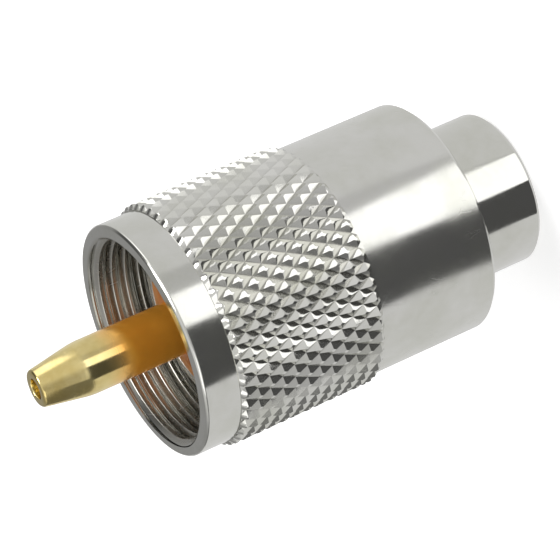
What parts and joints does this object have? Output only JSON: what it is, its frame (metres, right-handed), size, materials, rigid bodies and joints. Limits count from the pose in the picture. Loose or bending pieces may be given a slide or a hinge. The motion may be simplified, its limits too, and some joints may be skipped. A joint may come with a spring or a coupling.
{
  "type": "uhf coaxial plug",
  "caption": "Male coaxial cable plug with a centre pin, an insulator, a solder-type body and a knurled, threaded coupling ring that turns on it.",
  "frame": {"origin": "centre of the rear annular face of the cable stub, on which the plug stands", "axes": "+Z along the centre pin towards its tip; +X and +Y across two of the four solder holes"},
  "size_m": [0.0182, 0.0182, 0.0384],
  "materials": {
    "nickel_plate": "turned brass, satin nickel plate",
    "phenolic": "moulded brown phenolic",
    "gold_plate": "turned brass, thin gold plate"
  },
  "bodies": {
    "plug": {"plug_body": "nickel_plate", "insulator": "phenolic", "centre_contact": "gold_plate"},
    "ring": {"coupling_ring": "nickel_plate"}
  },
  "joints": [
    {"name": "coupling_ring_spin", "type": "hinge", "parent": "plug", "child": "ring", "pos_m": [0, 0, 0.0152], "axis": [0, 0, 1], "continuous": true}
  ]
}
